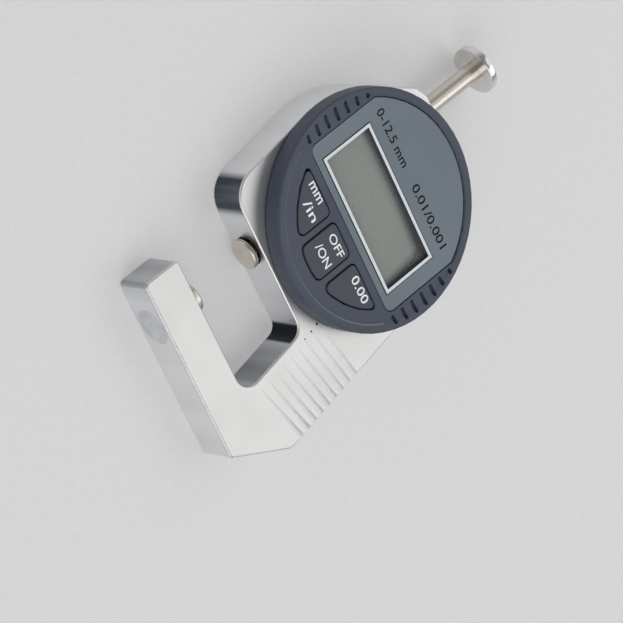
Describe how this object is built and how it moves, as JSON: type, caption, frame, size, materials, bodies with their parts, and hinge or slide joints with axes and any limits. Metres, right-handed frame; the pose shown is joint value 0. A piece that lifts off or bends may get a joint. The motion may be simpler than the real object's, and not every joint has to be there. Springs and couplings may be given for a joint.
{
  "type": "digital thickness gauge",
  "caption": "Hand-held digital thickness gauge: cast throat frame, fixed anvil, lifting spindle with cap, and a round turning display head with buttons.",
  "frame": {"origin": "centre of the anvil's measuring face, on the spindle's axis", "axes": "+Y up the spindle from the anvil to the lifting cap, +Z out of the display, +X to the right as the display reads; the gauge lies on its flat back"},
  "size_m": [0.0566, 0.0968, 0.0144],
  "materials": {
    "satin_chrome": "satin plated zinc casting",
    "polished_steel": "ground and polished",
    "carbide": "lapped hard face",
    "nickel": "nickel plated",
    "black_steel": "blackened",
    "bronze": "turned bearing bronze",
    "bezel_plastic": "fine moulded texture",
    "button_plastic": "satin moulded",
    "panel_film": "printed film",
    "white_print": "white moulding",
    "clear_pane": "clear acrylic",
    "lcd": "blank liquid crystal cell",
    "board": "glass-fibre board",
    "black_plastic": "moulded",
    "grey_rubber": "silicone"
  },
  "bodies": {
    "frame": {"frame_casting": "satin_chrome", "anvil": "carbide", "anvil_plug": "satin_chrome", "upper_bush": "bronze", "lower_bush": "bronze", "guide_rail": "black_steel", "return_spring": "polished_steel", "back_cover": "satin_chrome", "back_cover_screw_1": "black_steel", "back_cover_screw_2": "black_steel", "back_cover_screw_3": "black_steel", "back_cover_screw_4": "black_steel", "cell_holder": "black_plastic", "button_cell": "nickel", "lower_cell_contact": "nickel", "upper_cell_contact": "nickel", "sensor_board": "board", "sensor_chip": "black_plastic", "head_ring": "black_plastic", "head_ring_screw_1": "black_steel", "head_ring_screw_2": "black_steel", "head_ring_screw_3": "black_steel"},
    "spindle": {"spindle_rod": "polished_steel", "contact_disc": "carbide", "lift_cap": "nickel", "cap_screw": "nickel", "scale_carrier": "black_plastic", "scale_strip": "board", "carrier_screw_1": "black_steel", "carrier_screw_2": "black_steel", "guide_pin": "polished_steel"},
    "display": {"front_bezel": "bezel_plastic", "face_panel": "panel_film", "window_frame": "white_print", "window_pane": "clear_pane", "lcd_glass": "lcd", "rubber_strip_upper": "grey_rubber", "rubber_strip_lower": "grey_rubber", "display_board": "board", "keypad_mat": "grey_rubber", "snap_ring": "polished_steel"},
    "unit_key": {"button_unit": "button_plastic"},
    "power_key": {"button_power": "button_plastic"},
    "zero_key": {"button_zero": "button_plastic"},
    "cell_cover": {"cell_cover": "bezel_plastic"}
  },
  "joints": [
    {"name": "spindle_slide", "type": "slide", "parent": "frame", "child": "spindle", "axis": [0, 1, 0], "range_m": [-0.0145, 0], "deforming": ["return_spring"]},
    {"name": "display_turn", "type": "hinge", "parent": "frame", "child": "display", "pos_m": [0.0066, 0.0421, 0.0045], "axis": [0, 0, 1], "range_deg": [-135, 135]},
    {"name": "unit_key_press", "type": "slide", "parent": "display", "child": "unit_key", "axis": [0, 0, 1], "range_m": [-0.0004, 0], "stiffness_N_per_m": 1500},
    {"name": "power_key_press", "type": "slide", "parent": "display", "child": "power_key", "axis": [0, 0, 1], "range_m": [-0.0004, 0], "stiffness_N_per_m": 1500},
    {"name": "zero_key_press", "type": "slide", "parent": "display", "child": "zero_key", "axis": [0, 0, 1], "range_m": [-0.0004, 0], "stiffness_N_per_m": 1500},
    {"name": "cell_cover_turn", "type": "hinge", "parent": "frame", "child": "cell_cover", "pos_m": [0.0152, 0.0421, -0.0045], "axis": [0, 0, -1], "range_deg": [0, 60]}
  ]
}
